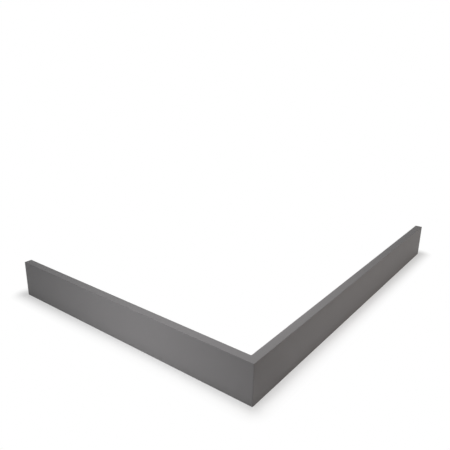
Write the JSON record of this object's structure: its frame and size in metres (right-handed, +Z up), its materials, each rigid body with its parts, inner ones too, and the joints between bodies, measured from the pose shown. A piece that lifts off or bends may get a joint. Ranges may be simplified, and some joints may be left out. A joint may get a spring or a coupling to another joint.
{
  "type": "shower tray panel",
  "caption": "L-shaped skirt panel, cast in one piece, that stands on the floor and closes the open sides of a raised shower tray round its outer corner.",
  "frame": {"origin": "on the floor, under the middle of the outline of the two legs", "axes": "+Z up, +X along the long leg away from the outer corner, +Y along the short leg away from the outer corner"},
  "size_m": [1.2, 0.9, 0.117],
  "materials": {
    "mineral_cast": "satin"
  },
  "bodies": {
    "root": {"corner_panel": "mineral_cast"}
  },
  "joints": []
}
